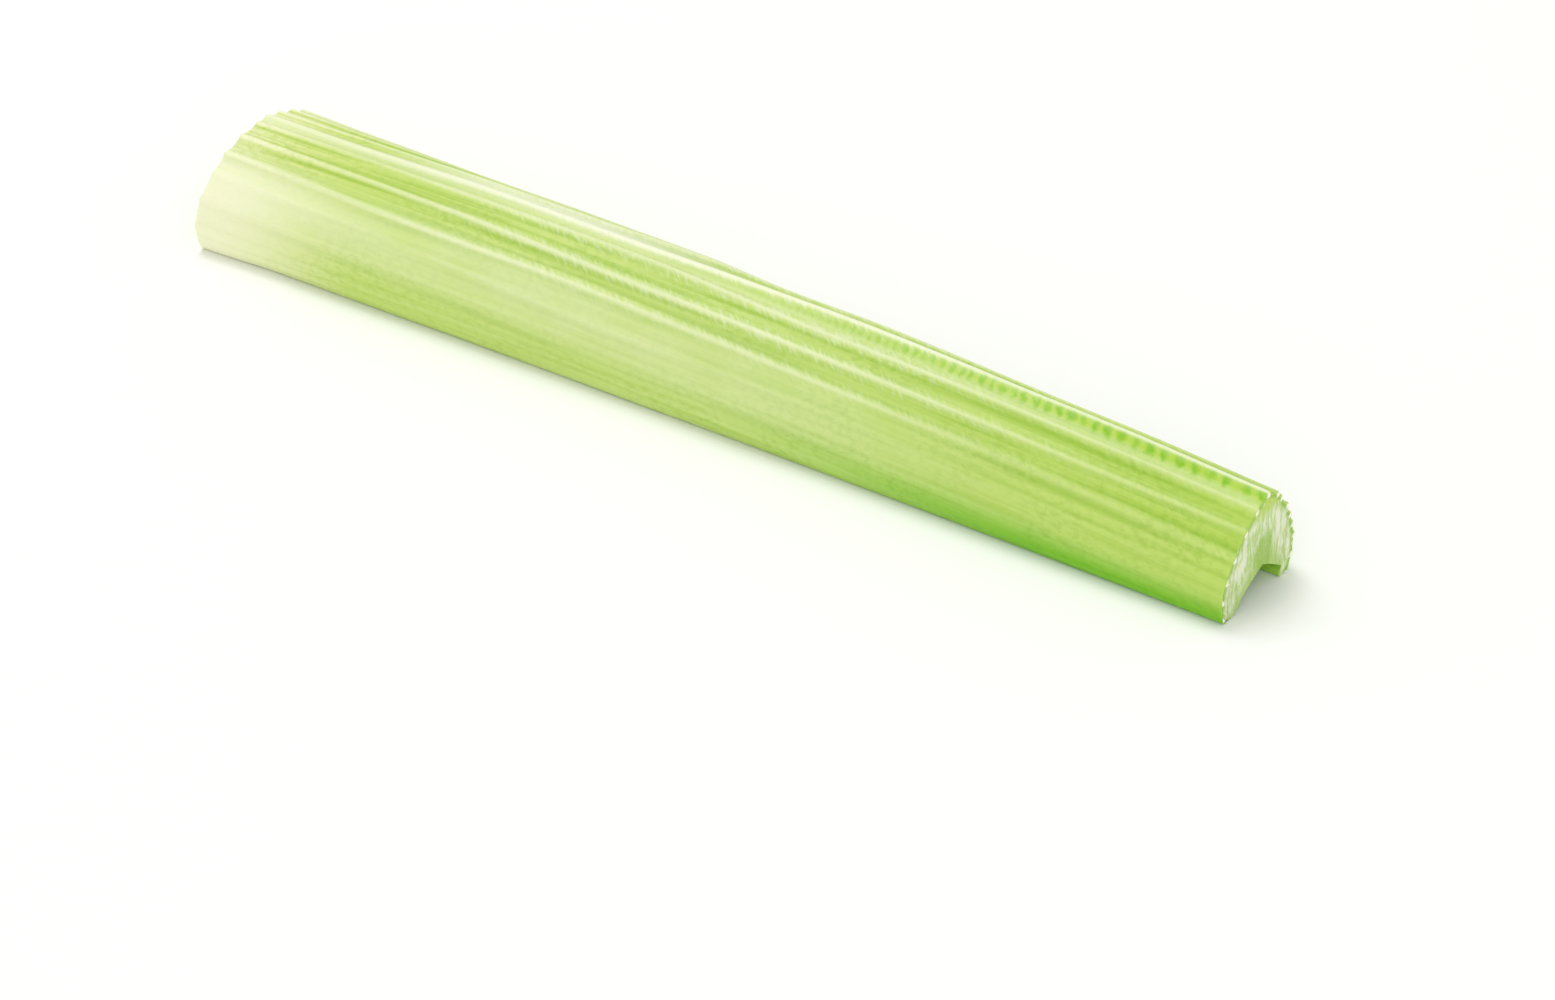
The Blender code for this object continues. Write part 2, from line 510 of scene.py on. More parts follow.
        # The feet stay flat, so the ribs and the undulation die out towards both edges.
        fade = np.clip(np.minimum(around, 1.0 - around) / self.foot_fade, 0.0, 1.0)
        wave = self.undulation * smooth_noise(self.wave_seed, 11, np.array([share]))[0]
        wave = wave * np.sin(around * self.wave_turns[0] + self.wave_turns[1] * share)
        from_cut = min(distance, length - distance)
        tucked = max(0.0, 1.0 - from_cut / self.edge_round)
        rounding = self.edge_round * (1.0 - math.sqrt(max(0.0, 1.0 - tucked * tucked)))
        outer = bare + normal * ((height + wave - rounding) * fade)[:, None]
        outer = outer + self.leaned(outer, size)
        risen = np.clip(inner[:, 1] / self.profile.inner_round, 0.0, 1.0)
        aside = self.profile.channel_offset * risen * risen * (3.0 - 2.0 * risen)
        inner = inner + self.leaned(inner, size)
        inner[:, 0] += aside
        turn = (around - 0.5) * girth
        return outer, inner, turn, crest, lane

    def leaned(self, points: np.ndarray, size: dict[str, float]) -> np.ndarray:
        """Sideways shift of a section's points, from the keel's lean and the stalk's bow.

        Args:
            points: Points of the section.
            size: Sizes of the section.

        Returns:
            Shift for each point.
        """
        lean = self.profile.keel_offset * (points[:, 1] / size["height"]) ** 2 + size["bow"]
        return np.stack([lean, np.zeros_like(lean)], axis=1)

    def cut_relief(
        self, station: np.ndarray, depth: np.ndarray, lane: np.ndarray, turn: np.ndarray, share: np.ndarray
    ) -> np.ndarray:
        """How far each point of a cut face stands out of the knife's plane.

        Args:
            station: Station number of each point; not used.
            depth: Depth under the skin in millimetres.
            lane: Rib number with its fraction.
            turn: Distance around from the keel in millimetres.
            share: Share of the way from skin to channel.

        Returns:
            Relief in millimetres.
        """
        off_rib = (lane - np.rint(lane)) * self.rib_spacing
        near = (off_rib / self.bead_radius) ** 2 + ((depth - self.bead_depth) / self.bead_radius) ** 2
        beads = self.bead_height * np.exp(-near)
        across, bend, down = self.cell_waves
        cells = np.sin(turn * across + 2.0 * np.sin(depth * bend)) * np.sin(depth * down + turn)
        inside = np.clip(depth / 0.5, 0.0, 1.0) * np.clip((1.0 - share) / 0.1, 0.0, 1.0)
        sunk = -self.cut_sunk * np.sin(np.pi * np.clip(share, 0.0, 1.0))
        return beads + (self.cut_roughness * cells + sunk) * inside

    def fit_to_frame(self, points: np.ndarray) -> np.ndarray:
        """Bring the shaped points to the frame node's own box.

        Args:
            points: Positions in millimetres.

        Returns:
            Positions in metres.
        """
        low, high = (np.array(corner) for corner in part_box(NODE))
        own_low = points.min(axis=0) * MM
        own_high = points.max(axis=0) * MM
        proud = self.bead_height * MM
        target_low = low - np.array([proud, 0.0, 0.0])
        target_high = high + np.array([proud, 0.0, 0.0])
        scale = (target_high - target_low) / (own_high - own_low)
        log.info("fit to the frame: scale %s", np.round(scale, 4).tolist())
        return target_low + (points * MM - own_low) * scale

    def zone_faces(self, stalk: bpy.types.Object, station: np.ndarray, layer: np.ndarray) -> None:
        """Give each face the material of the zone that it lies in.

        Args:
            stalk: The stalk.
            station: Station number of each point.
            layer: Layer number of each point.
        """
        mesh = stalk.data
        corners = np.empty(len(mesh.loops), dtype=np.int32)
        mesh.loops.foreach_get("vertex_index", corners)
        quads = corners.reshape(-1, 4)
        zones = np.full(len(quads), Zone.SKIN.value, dtype=np.int32)
        zones[(layer[quads] == self.layers).all(axis=1)] = Zone.CHANNEL.value
        for end in (0, self.stations):
            zones[(station[quads] == end).all(axis=1)] = Zone.CUT.value
        for finish in (SkinFinish(), ChannelFinish(), CutFinish()):
            mesh.materials.append(finish.material())
        mesh.polygons.foreach_set("material_index", zones)

    def finish_surface(self, stalk: bpy.types.Object) -> None:
        """Shade the stalk smooth, with crisp edges where the knife cut it.

        Args:
            stalk: The stalk.
        """
        deselect()
        stalk.select_set(True)
        bpy.context.view_layer.objects.active = stalk
        bpy.ops.object.shade_smooth_by_angle(angle=math.radians(self.smooth_angle))
        deselect()


@dataclass(frozen=True)
class Flesh:
    """How light travels in celery: the constant shader values of one of its surfaces."""

    roughness: float
    subsurface: float
    coat: float
    coat_roughness: float = 0.16
    ior: float = 1.34
    scatter_mm: float = 0.5
    # Red and green light travel further than blue in green tissue.
    scatter_color: tuple[float, float, float] = (0.9, 1.0, 0.35)


class Surface:
    """A material while it is built: its nodes, its shader and the growth directions in it.

    Beside the parts of the growth attributes it knows off_crest, which is 0 on a crest and 0.5
    halfway between two, and off_keel, the distance from the keel counted in ribs.
    """

    def __init__(self, name: str, flesh: Flesh) -> None:
        """Start the material from its constant values, and read the growth attributes.

        Args:
            name: Name of the material.
            flesh: How light travels in it.
        """
        self.material = bpy.data.materials.new(name)
        self.material.use_nodes = True
        self.tree = self.material.node_tree
        self.shader = self.tree.nodes["Principled BSDF"]
        constants = {
            "Roughness": flesh.roughness,
            "IOR": flesh.ior,
            "Subsurface Weight": flesh.subsurface,
            "Subsurface Radius": flesh.scatter_color,
            "Subsurface Scale": flesh.scatter_mm * MM,
            "Coat Weight": flesh.coat,
            "Coat Roughness": flesh.coat_roughness,
        }
        for socket_name, value in constants.items():
            self.shader.inputs[socket_name].default_value = value
        place = self.add("ShaderNodeAttribute", {"attribute_name": Growth.PLACE.value})
        order = self.add("ShaderNodeAttribute", {"attribute_name": Growth.ORDER.value})
        self.place = place.outputs["Vector"]
        place_parts = self.add("ShaderNodeSeparateXYZ", inputs={0: self.place})
        order_parts = self.add("ShaderNodeSeparateXYZ", inputs={0: order.outputs["Vector"]})
        self.around, self.along, self.depth = place_parts.outputs
        self.lane, self.crest, self.through = order_parts.outputs
        self.off_crest = self.add(MATH, {"operation": "PINGPONG"}, {0: self.lane, 1: 0.5}).outputs[0]
        self.off_keel = self.distance(self.lane, 0.0)

    def add(
        self, kind: str, settings: dict[str, Any] | None = None, inputs: dict[str | int, Any] | None = None
    ) -> bpy.types.Node:
        """Add a shader node with its settings and with its inputs linked or set.

        Args:
            kind: Blender's type name of the node.
            settings: Node properties by name.
            inputs: Sockets by name or number, each with a value or with the output that feeds it.

        Returns:
            The new node.
        """
        node = self.tree.nodes.new(kind)
        for name, value in (settings or {}).items():
            setattr(node, name, value)
        for name, value in (inputs or {}).items():
            socket = node.inputs[name]
            if isinstance(value, Socket):
                self.tree.links.new(value, socket)
            else:
                socket.default_value = value
        return node

    def distance(self, source: Socket, place: float) -> Socket:
        """How far a value is from a fixed one.

        Args:
            source: The value.
            place: The fixed value.

        Returns:
            Socket of the distance, never negative.
        """
        off = self.add(MATH, {"operation": "SUBTRACT"}, {0: source, 1: place})
        return self.add(MATH, {"operation": "ABSOLUTE"}, {0: off.outputs[0]}).outputs[0]

    def noise(self, place: Socket, grain: tuple[float, float, float], detail: float) -> Socket:
        """Noise with its own grain size in each direction.

        Args:
            place: Vector that it follows, in millimetres.
            grain: Grain size in each of the vector's directions in millimetres.
            detail: Octaves of finer noise.

        Returns:
            Socket with values around 0.5.
        """
        scale = tuple(1.0 / size for size in grain)
        moved = self.add(VECTOR_MATH, {"operation": "MULTIPLY"}, {0: place, 1: scale})
        inputs = {"Vector": moved.outputs[0], "Scale": 1.0, "Detail": detail, "Roughness": 0.55}
        return self.add("ShaderNodeTexNoise", inputs=inputs).outputs["Fac"]

    def masked(self, masks: tuple[Mask, ...]) -> Any:
        """Multiply eased masks together.

        Args:
            masks: The masks.

        Returns:
            Socket of the product.
        """
        product: Any = 1.0
        for source, start, end, low, high in masks:
            inputs = {0: source, 1: start, 2: end, 3: low, 4: high}
            eased = self.add("ShaderNodeMapRange", {"interpolation_type": "SMOOTHSTEP"}, inputs)
            inputs = {0: product, 1: eased.outputs[0]}
            product = self.add(MATH, {"operation": "MULTIPLY"}, inputs).outputs[0]
        return product

    def layered(self, color: Any, layers: tuple[Tint, ...]) -> Any:
        """Lay tints over a colour, each where its masks let it through.

        Args:
            color: Colour or colour socket to start from.
            layers: The tints, from the lowest to the topmost.

        Returns:
            Colour socket.
        """
        for tint, blend, masks in layers:
            inputs = {0: self.masked(masks), 6: color, 7: linear_color(tint)}
            mixer = self.add("ShaderNodeMix", {"data_type": "RGBA", "blend_type": blend}, inputs)
            color = mixer.outputs[2]
        return color

    def finish(self, color: Socket, relief: tuple[tuple[Socket, float], ...]) -> bpy.types.Material:
        """Give the shader its colour and the relief of some noises.

        Args:
            color: Colour socket.
            relief: For each noise its socket and its height in millimetres.

        Returns:
            The finished material.
        """
        height: Any = 0.0
        for source, size in relief:
            inputs = {0: source, 1: size, 2: height}
            height = self.add(MATH, {"operation": "MULTIPLY_ADD"}, inputs).outputs[0]
        bump = self.add("ShaderNodeBump", inputs={"Strength": 1.0, "Distance": MM, "Height": height})
        self.tree.links.new(bump.outputs["Normal"], self.shader.inputs["Normal"])
        self.tree.links.new(color, self.shader.inputs["Base Color"])
        return self.material


@dataclass(frozen=True)
class SkinFinish:
    """Fresh celery epidermis, grown: moist, waxy and translucent, with paler strands under it.

    The green layer lies between the strands, so furrows look greener and crests nearly white, the
    crests partly with painted highlight. Painted light also pales the broad flank as sheen and the
    lane in front of the keel as a reflection, and greens the margins as bounce light. The green
    layer thins out towards the base, where the stalk grew blanched.
    """

    name: str = "celery_skin_grown"
    # Colour stops from the base cut to the tip cut, with their shares of the length.
    stops: tuple[tuple[float, str], ...] = (
        (0.0, "#F3F2CC"),
        (0.06, "#DDE694"),
        (0.16, "#C8DC76"),
        (0.40, "#CBDC84"),
        (0.65, "#C4D97C"),
        (1.0, "#BCD662"),
    )
    length: float = 165.0
    furrow: str = "#D2E68E"
    streak: str = "#E0EDB8"
    fleck: str = "#D9E9A8"
    # Painted sheen on the broad flank, and painted highlight in the band beside each strand.
    flank: str = "#DCE6B0"
    # Painted green bounce light on the margins.
    margin: str = "#A0E02A"
    # Painted reflection in the lane in front of the keel.
    lane: str = "#E2EBB4"
    row: str = "#AED03A"
    blotch: str = "#84BE00"
    hatch: str = "#BAD446"
    # Strands, white partly from painted highlight on the crests.
    strand: str = "#F4F5DE"
    blanched: str = "#F4F3D4"
    # Places counted in ribs from the keel: the broad flank with its painted sheen, the lane in front
    # of the keel with its painted reflection, its row of blotches, which is nearer to the keel, and the
    # pale lane behind the keel.
    flank_lane: float = 4.0
    front_lane: float = -0.5
    row_lane: float = -0.28
    back_lane: float = 0.45
    blotch_spread: float = 0.95
    blotch_raggedness: float = 0.45
    # Slant of the strokes beside the strands, in radians from straight across.
    stroke_turn: float = 0.95
    # Rungs for each millimetre at a distance from the base, and how that falls towards the tip.
    rung_rate: float = 0.71
    rung_middle: float = 110.0
    rung_thinning: float = -0.0031
    # Millimetres that a rung moves on for each rib, and how far noise shifts it, in rungs.
    rung_slant: float = 0.8
    rung_jitter: float = 1.1
    light: Flesh = Flesh(roughness=0.44, subsurface=0.35, coat=0.05)

    def material(self) -> bpy.types.Material:
        """Build the skin's material.

        Returns:
            The material.
        """
        surface = Surface(self.name, self.light)
        # Streaks under a millimetre wide run for centimetres, as rows of longer cells do.
        streak = surface.noise(surface.place, (0.9, 40.0, 1.0), 2.0)
        # Cells under a millimetre long are a faint grain on the skin.
        grain = surface.noise(surface.place, (0.7, 1.3, 1.0), 2.0)
        cloud = surface.noise(surface.place, (6.0, 16.0, 1.0), 2.0)
        color = self.body_color(surface)
        color = self.flank_color(surface, color, {"streak": streak, "grain": grain, "cloud": cloud})
        color = self.lane_color(surface, color, streak)
        return surface.finish(color, ((cloud, 0.30), (streak, 0.035), (grain, 0.008)))

    def body_color(self, surface: Surface) -> Socket:
        """Colour that ripens from the pale base to the greener leaf side.

        Args:
            surface: The material so far.

        Returns:
            Colour socket.
        """
        share = surface.add(MATH, {"operation": "DIVIDE"}, {0: surface.along, 1: self.length})
        ramp = surface.add("ShaderNodeValToRGB", inputs={0: share.outputs[0]})
        ramp.color_ramp.interpolation = "B_SPLINE"
        elements = ramp.color_ramp.elements
        for index, (position, code) in enumerate(self.stops):
            stop = elements[index] if index < 2 else elements.new(position)
            stop.position = position
            stop.color = linear_color(code)
        return ramp.outputs["Color"]

    def flank_color(self, surface: Surface, color: Socket, noise: dict[str, Socket]) -> Socket:
        """Greener furrows, cell streaks, painted sheen on the broad flank, painted bounce light on the
        margins.

        Args:
            surface: The material so far.
            color: Colour so far.
            noise: Streak, grain and cloud noises.

        Returns:
            Colour socket.
        """
        off_flank = surface.distance(surface.off_keel, self.flank_lane)
        layers = (
            # Furrows are greener beside the crests, and hardly show on the broad lower front flank.
            (self.furrow, "MULTIPLY", (
                (surface.off_crest, 0.06, 0.20, 0.0, 0.75),
                (surface.off_crest, 0.24, 0.50, 1.0, 0.6),
                (surface.lane, -4.0, -2.6, 0.2, 1.0),
                (noise["streak"], 0.3, 0.7, 0.25, 1.0),
            )),
            (self.streak, "MULTIPLY", ((noise["streak"], 0.38, 0.72, 0.0, 0.55),)),
            (self.fleck, "MULTIPLY", (
                (noise["grain"], 0.40, 0.68, 0.0, 0.55),
                (noise["cloud"], 0.35, 0.65, 0.2, 1.0),
            )),
            # Painted sheen: the broad flank is paler and cloudier, except near the leaf side.
            (self.flank, "MIX", (
                (off_flank, 0.4, 1.9, 0.60, 0.0),
                (surface.along, 70.0, 140.0, 1.0, 0.1),
                (noise["cloud"], 0.30, 0.60, 0.5, 1.0),
            )),
            # Painted green bounce light: the thin margins are greener, most towards the leaf side.
            (self.margin, "MULTIPLY", (
                (surface.off_keel, 4.5, 6.0, 0.0, 1.0),
                (surface.along, 84.0, 146.0, 0.06, 0.95),
                (surface.lane, 2.0, 4.0, 1.0, 0.6),
            )),
            # The foot of the stalk grew without light.
            (self.blanched, "MIX", (
                (surface.along, 0.0, 30.0, 0.75, 0.0),
                (surface.off_keel, 2.0, 4.5, 0.0, 1.0),
            )),
        )
        return surface.layered(color, layers)

    def lane_color(self, surface: Surface, color: Socket, streak: Socket) -> Socket:
        """Pale lane beside the keel, its row of green blotches, and white strands on the crests.

        The lane's paleness is a painted reflection that the blotches break, and the strands' white is
        partly painted highlight.

        Args:
            surface: The material so far.
            color: Colour so far.
            streak: Streak noise.

        Returns:
            Colour socket.
        """
        off_lane = surface.distance(surface.lane, self.front_lane)
        off_row = surface.distance(surface.lane, self.row_lane)
        off_back = surface.distance(surface.lane, self.back_lane)
        off_rung = self.rungs(surface)
        reach = self.blotch_reach(surface, off_row, off_rung)
        # Blotches come and go over a few millimetres.
        size_noise = surface.noise(surface.place, (3.0, 3.2, 1.0), 1.0)
        inputs = {"Vector": surface.place, "Angle": self.stroke_turn}
        turned = surface.add("ShaderNodeVectorRotate", {"rotation_type": "Z_AXIS"}, inputs)
        slanted = surface.noise(turned.outputs[0], (2.2, 0.45, 1.0), 1.5)
        beside_strand = (
            (surface.off_crest, 0.16, 0.46, 1.0, 0.0),
            (surface.off_crest, 0.03, 0.14, 0.25, 1.0),
            (surface.off_keel, 2.6, 3.6, 1.0, 0.0),
            (surface.along, 25.0, 60.0, 0.0, 1.0),
            (surface.along, 100.0, 145.0, 1.0, 0.3),
        )
        layers = (
            # Painted reflection: the pale lane in front of the keel, which the row of blotches breaks up.
            (self.lane, "MIX", (
                (off_lane, 0.40, 0.52, 0.45, 0.0),
                (surface.along, 60.0, 150.0, 1.0, 0.6),
            )),
            # The green layer shows between the blotches as well, then in the blotches themselves.
            (self.row, "MIX", (
                (off_row, 0.04, 0.42, 0.88, 0.0),
                (surface.along, 60.0, 150.0, 0.1, 1.0),
            )),
            (self.blotch, "MIX", (
                (reach, 0.30, 0.66, 1.0, 0.0),
                (size_noise, 0.36, 0.56, 0.6, 1.0),
                (surface.along, 75.0, 145.0, 0.0, 1.0),
            )),
            # The same rungs show weakly on every crest as short yellow-green strokes.
            (self.hatch, "MIX", (
                (surface.crest, 0.0, 1.0, 0.0, 0.28),
                (off_rung, 0.08, 0.42, 1.0, 0.0),
                (surface.along, 30.0, 70.0, 0.0, 1.0),
            )),
            # The lane behind the keel is nearly white halfway to the base.
            (self.strand, "MIX", (
                (off_back, 0.35, 0.65, 0.65, 0.0),
                (surface.along, 15.0, 45.0, 0.0, 1.0),
                (surface.along, 55.0, 88.0, 1.0, 0.0),
            )),
            # Each strand lies in a paler band and is white itself, both partly painted highlight.
            (self.flank, "MIX", ((surface.off_crest, 0.04, 0.34, 0.40, 0.0), *beside_strand[2:])),
            (self.strand, "MIX", (
                (surface.crest, 0.0, 0.95, 0.0, 0.48),
                (streak, 0.3, 0.7, 1.0, 0.7),
                (surface.along, 0.0, 60.0, 0.65, 1.0),
                (surface.along, 105.0, 155.0, 1.0, 0.55),
            )),
            # Short strokes slant beside the strands, pale with yellow-green between them.
            (self.strand, "MIX", ((slanted, 0.46, 0.66, 0.0, 0.24), *beside_strand)),
            (self.hatch, "MIX", ((slanted, 0.34, 0.52, 0.24, 0.0), *beside_strand)),
            # The keel's strand is the whitest, partly as painted highlight on the topmost crest.
            (self.strand, "MIX", (
                (surface.crest, 0.2, 1.0, 0.0, 0.55),
                (surface.off_keel, 0.2, 0.6, 1.0, 0.0),
                (surface.along, 0.0, 40.0, 0.2, 1.0),
            )),
        )
        return surface.layered(color, layers)

    def blotch_reach(self, surface: Surface, off_row: Socket, off_rung: Socket) -> Socket:
        """Ragged distance from the middle of the nearest blotch.

        Args:
            surface: The material so far.
            off_row: Distance from the row, counted in ribs.
            off_rung: Distance from the nearest rung.

        Returns:
            Socket of the distance.
        """
        spread = surface.add(MATH, {"operation": "MULTIPLY"}, {0: off_row, 1: self.blotch_spread})
        spot = surface.add("ShaderNodeCombineXYZ", inputs={0: spread.outputs[0], 1: off_rung})
        reach = surface.add(VECTOR_MATH, {"operation": "LENGTH"}, {0: spot.outputs[0]})
        ragged = surface.noise(surface.place, (1.1, 1.2, 1.0), 2.0)
        inputs = {0: ragged, 1: self.blotch_raggedness, 2: reach.outputs["Value"]}
        return surface.add(MATH, {"operation": "MULTIPLY_ADD"}, inputs).outputs[0]

    def rungs(self, surface: Surface) -> Socket:
        """Uneven ladder of rungs across the stalk, wider apart towards the leaf side.

        Args:
            surface: The material so far.

        Returns:
            Socket that is 0 on a rung and 0.5 halfway between two.
        """
        inputs = {0: surface.lane, 1: self.rung_slant, 2: surface.along}
        place = surface.add(MATH, {"operation": "MULTIPLY_ADD"}, inputs).outputs[0]
        offset = surface.add(MATH, {"operation": "SUBTRACT"}, {0: place, 1: self.rung_middle}).outputs[0]
        inputs = {0: offset, 1: self.rung_thinning, 2: self.rung_rate}
        rate = surface.add(MATH, {"operation": "MULTIPLY_ADD"}, inputs).outputs[0]
        count = surface.add(MATH, {"operation": "MULTIPLY"}, {0: offset, 1: rate}).outputs[0]
        jitter = surface.noise(surface.place, (1.6, 2.6, 1.0), 2.0)
        inputs = {0: jitter, 1: self.rung_jitter, 2: count}
        moved = surface.add(MATH, {"operation": "MULTIPLY_ADD"}, inputs).outputs[0]
        return surface.add(MATH, {"operation": "PINGPONG"}, {0: moved, 1: 0.5}).outputs[0]


@dataclass(frozen=True)
class ChannelFinish:
    """Inner epidermis of the channel, grown: smoother and thinner than the outside, and darker and greener,
    partly as painted shade.
    """

    name: str = "celery_channel_grown"
    # Both colours are darker and greener than the skin's, partly painted shade in the channel.
    base: str = "#DCE9A6"
    tip: str = "#A5CF52"
    streak: str = "#C4E58C"
    length: float = 165.0
    light: Flesh = Flesh(roughness=0.36, subsurface=0.40, coat=0.20)

    def material(self) -> bpy.types.Material:
        """Build the channel's material.

        Returns:
            The material.
        """
        surface = Surface(self.name, self.light)
        streak = surface.noise(surface.place, (0.8, 24.0, 1.0), 3.0)
        layers = (
            (self.tip, "MIX", ((surface.along, 0.0, self.length, 0.0, 1.0),)),
            (self.streak, "MULTIPLY", ((streak, 0.4, 0.7, 0.0, 0.9),)),
        )
        color = surface.layered(linear_color(self.base), layers)
        return surface.finish(color, ((streak, 0.12),))


@dataclass(frozen=True)
class CutFinish:
    """Knife-cut celery flesh: wet pith with white fibres, a green core and pale strand ends."""

    name: str = "celery_flesh_cut"
    pith: str = "#A8CA54"
    keel: str = "#B6D424"
    fibre: str = "#ECF0D6"
    core: str = "#90BC1E"
    rind: str = "#B9D458"
    under_rind: str = "#86B82C"
    bead: str = "#F6F7E6"
    base_pale: str = "#ECEFC9"
    # Spacing of the large strands, depth of their middles and spacing of the thin strands.
    rib_spacing: float = 3.2
    bead_depth: float = 0.26
    dot_pitch: float = 1.7
    length: float = 165.0
    light: Flesh = Flesh(roughness=0.36, subsurface=0.40, coat=0.12)

    def material(self) -> bpy.types.Material:
        """Build the cut faces' material.

        Returns:
            The material.
        """
        surface = Surface(self.name, self.light)
        object_place = surface.add("ShaderNodeTexCoord").outputs["Object"]
        inputs = {0: object_place, "Scale": 1.0 / MM}
        in_mm = surface.add(VECTOR_MATH, {"operation": "SCALE"}, inputs).outputs[0]
        fibre = self.fibre_noise(surface, in_mm)
        speckle = surface.noise(surface.place, (0.45, 5.0, 0.45), 2.0)
        color = self.flesh_color(surface, in_mm, {"fibre": fibre, "speckle": speckle})
        color = self.rim_color(surface, color)
        return surface.finish(color, ((fibre, 0.14), (speckle, 0.05)))

    def fibre_noise(self, surface: Surface, in_mm: Socket) -> Socket:
        """Feathery noise whose strokes stand upright in the cut, as the torn pith does.

        Args:
            surface: The material so far.
            in_mm: Place in the part's frame in millimetres.

        Returns:
            Socket with values around 0.5.
        """
        bend = surface.noise(in_mm, (6.0, 3.0, 3.0), 1.0)
        shift = surface.add("ShaderNodeCombineXYZ", inputs={1: bend})
        moved = surface.add(VECTOR_MATH, {"operation": "ADD"}, {0: in_mm, 1: shift.outputs[0]})
        return surface.noise(moved.outputs[0], (8.0, 0.60, 2.6), 2.5)

    def flesh_color(self, surface: Surface, in_mm: Socket, noise: dict[str, Socket]) -> Socket:
        """Translucent pith with white fibres down the arms, a green core and a yellow-green keel.

        Args:
            surface: The material so far.
            in_mm: Place in the part's frame in millimetres.
            noise: Fibre and speckle noises.

        Returns:
            Colour socket.
        """
        side = surface.add(MATH, {"operation": "ABSOLUTE"}, {0: surface.around}).outputs[0]
        height = surface.add("ShaderNodeSeparateXYZ", inputs={0: in_mm}).outputs["Z"]
        layers = (
            # White fibres down the middle of each arm, thinning out towards the keel.
            (self.fibre, "MIX", (
                (noise["fibre"], 0.36, 0.60, 0.20, 1.0),
                (surface.depth, 0.3, 1.6, 0.1, 0.95),
                (surface.through, 0.55, 0.98, 1.0, 0.15),
                (height, 10.4, 13.6, 1.0, 0.2),
            )),
            # Yellow-green keel.
            (self.keel, "MIX", ((height, 10.2, 13.4, 0.0, 0.95), (noise["fibre"], 0.50, 0.70, 1.0, 0.6))),
            # Green core over the channel's roof.
            (self.core, "MIX", (
                (side, 1.5, 6.5, 1.0, 0.0),
                (surface.through, 0.40, 0.70, 0.0, 0.95),
                (noise["fibre"], 0.40, 0.75, 1.0, 0.75),
            )),
            # Painted glints: wet cells catch a little light everywhere.
            (self.fibre, "MIX", ((noise["speckle"], 0.35, 0.70, 0.0, 0.15),)),
        )
        return surface.layered(linear_color(self.pith), layers)

    def rim_color(self, surface: Surface, color: Socket) -> Socket:
        """Draw the cut skin as a thin line over the green layer, with white strand ends in it.

        Args:
            surface: The material so far.
            color: Colour so far.

        Returns:
            Colour socket.
        """
        # One large strand ends behind each rib.
        wide = surface.add(MATH, {"operation": "MULTIPLY"}, {0: surface.off_crest, 1: self.rib_spacing})
        down = surface.add(MATH, {"operation": "SUBTRACT"}, {0: surface.depth, 1: self.bead_depth})
        spot = surface.add("ShaderNodeCombineXYZ", inputs={0: wide.outputs[0], 1: down.outputs[0]})
        bead = surface.add(VECTOR_MATH, {"operation": "LENGTH"}, {0: spot.outputs[0]})
        # Thinner strands end as dots a little further in.
        thin = surface.add("ShaderNodeCombineXYZ", inputs={0: surface.around, 1: surface.depth})
        inputs = {"Vector": thin.outputs[0], "Scale": 1.0 / self.dot_pitch}
        dot = surface.add("ShaderNodeTexVoronoi", {"voronoi_dimensions": "2D"}, inputs)
        layers = (
            (self.under_rind, "MIX", ((surface.depth, 0.30, 0.80, 0.75, 0.0),)),
            (self.rind, "MIX", ((surface.depth, 0.06, 0.20, 1.0, 0.0),)),
            (self.bead, "MIX", (
                (dot.outputs["Distance"], 0.08, 0.20, 0.6, 0.0),
                (surface.depth, 0.7, 1.3, 1.0, 0.0),
            )),
            (self.bead, "MIX", ((bead.outputs["Value"], 0.30, 0.58, 1.0, 0.0),)),
            # The base cut is blanched nearly white.
            (self.base_pale, "MIX", ((surface.along, 0.0, self.length, 0.6, 0.0),)),
        )
        return surface.layered(color, layers)


@dataclass(frozen=True)
class Softbox:
    """One rectangular light, aimed at the stick."""

    name: str
    place: tuple[float, float, float]
    size: float
    power: float


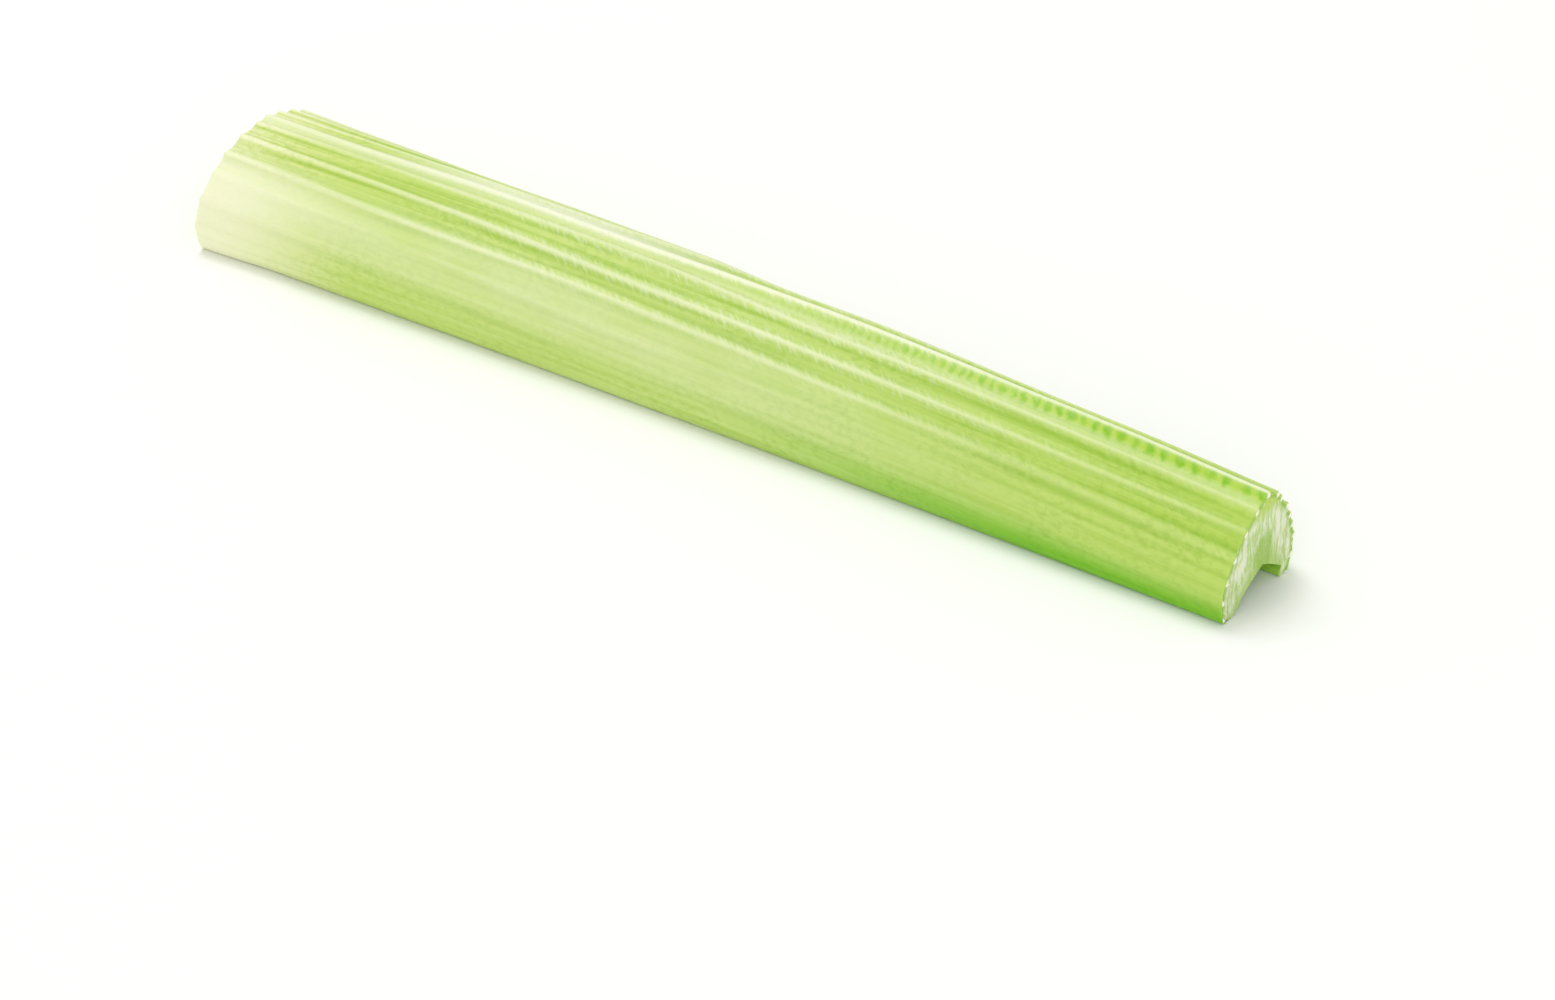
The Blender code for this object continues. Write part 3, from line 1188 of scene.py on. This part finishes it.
@dataclass
class Studio:
    """Plain pale floor, soft light and the camera."""

    floor_size: float = 6.0
    floor_color: str = "#F8F9F5"
    world_strength: float = 0.66
    azimuth: float = 36.62
    elevation: float = 32.5
    distance: float = 0.5751
    target: tuple[float, float, float] = (0.0105, -0.0024, -0.012)
    lens: float = 100.0
    softboxes: tuple[Softbox, ...] = (
        Softbox("key_light", (-0.30, 0.15, 1.0), 0.6, 4.3),
        Softbox("fill_light", (0.6, -0.8, 0.5), 0.8, 3.2),
    )

    def build(self) -> None:
        """Make the floor, the lights and the camera."""
        self.lay_floor()
        self.light()
        self.aim_camera()
        bpy.context.scene.view_settings.view_transform = "Standard"

    def lay_floor(self) -> None:
        """Lay a matt, nearly white floor just under the stick."""
        deselect()
        bpy.ops.mesh.primitive_plane_add(size=self.floor_size, location=(0.0, 0.0, -0.05 * MM))
        floor = bpy.context.active_object
        floor.name = "floor"
        material = bpy.data.materials.new("painted_board_matt")
        material.use_nodes = True
        shader = material.node_tree.nodes["Principled BSDF"]
        shader.inputs["Base Color"].default_value = linear_color(self.floor_color)
        shader.inputs["Roughness"].default_value = 0.9
        shader.inputs["Specular IOR Level"].default_value = 0.1
        floor.data.materials.append(material)

    def light(self) -> None:
        """Set an even white surrounding and the softboxes."""
        world = bpy.data.worlds.new("white_surround")
        world.use_nodes = True
        background = world.node_tree.nodes["Background"]
        background.inputs["Color"].default_value = (1.0, 1.0, 1.0, 1.0)
        background.inputs["Strength"].default_value = self.world_strength
        bpy.context.scene.world = world
        for box in self.softboxes:
            lamp = bpy.data.lights.new(box.name, "AREA")
            lamp.size = box.size
            lamp.energy = box.power
            holder = bpy.data.objects.new(box.name, lamp)
            holder.location = box.place
            holder.rotation_euler = Vector(box.place).to_track_quat("Z", "Y").to_euler()
            bpy.context.scene.collection.objects.link(holder)

    def aim_camera(self) -> None:
        """Put the camera at its viewing angle, aimed at a point beside the stick."""
        turn = math.radians(self.azimuth)
        lift = math.radians(self.elevation)
        back = Vector((math.sin(turn) * math.cos(lift), -math.cos(turn) * math.cos(lift), math.sin(lift)))
        lens = bpy.data.cameras.new("camera")
        lens.lens = self.lens
        lens.sensor_width = 36.0
        lens.clip_start = 0.01
        camera = bpy.data.objects.new("camera", lens)
        camera.location = Vector(self.target) + back * self.distance
        camera.rotation_euler = back.to_track_quat("Z", "Y").to_euler()
        bpy.context.scene.collection.objects.link(camera)
        bpy.context.scene.camera = camera


def main() -> None:
    """Build the stick and its studio, and tie the stick to the frame."""
    logging.basicConfig(level=logging.INFO, format="%(name)s: %(message)s")
    stalk = Stalk().build()
    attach(stalk, BODY)
    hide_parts(NODE)
    log.info("%s: %d faces", stalk.name, len(stalk.data.polygons))
    studio = Studio()
    studio.build()
    log.info("studio: floor, %d softboxes and camera", len(studio.softboxes))


if __name__ == "__main__":
    main()
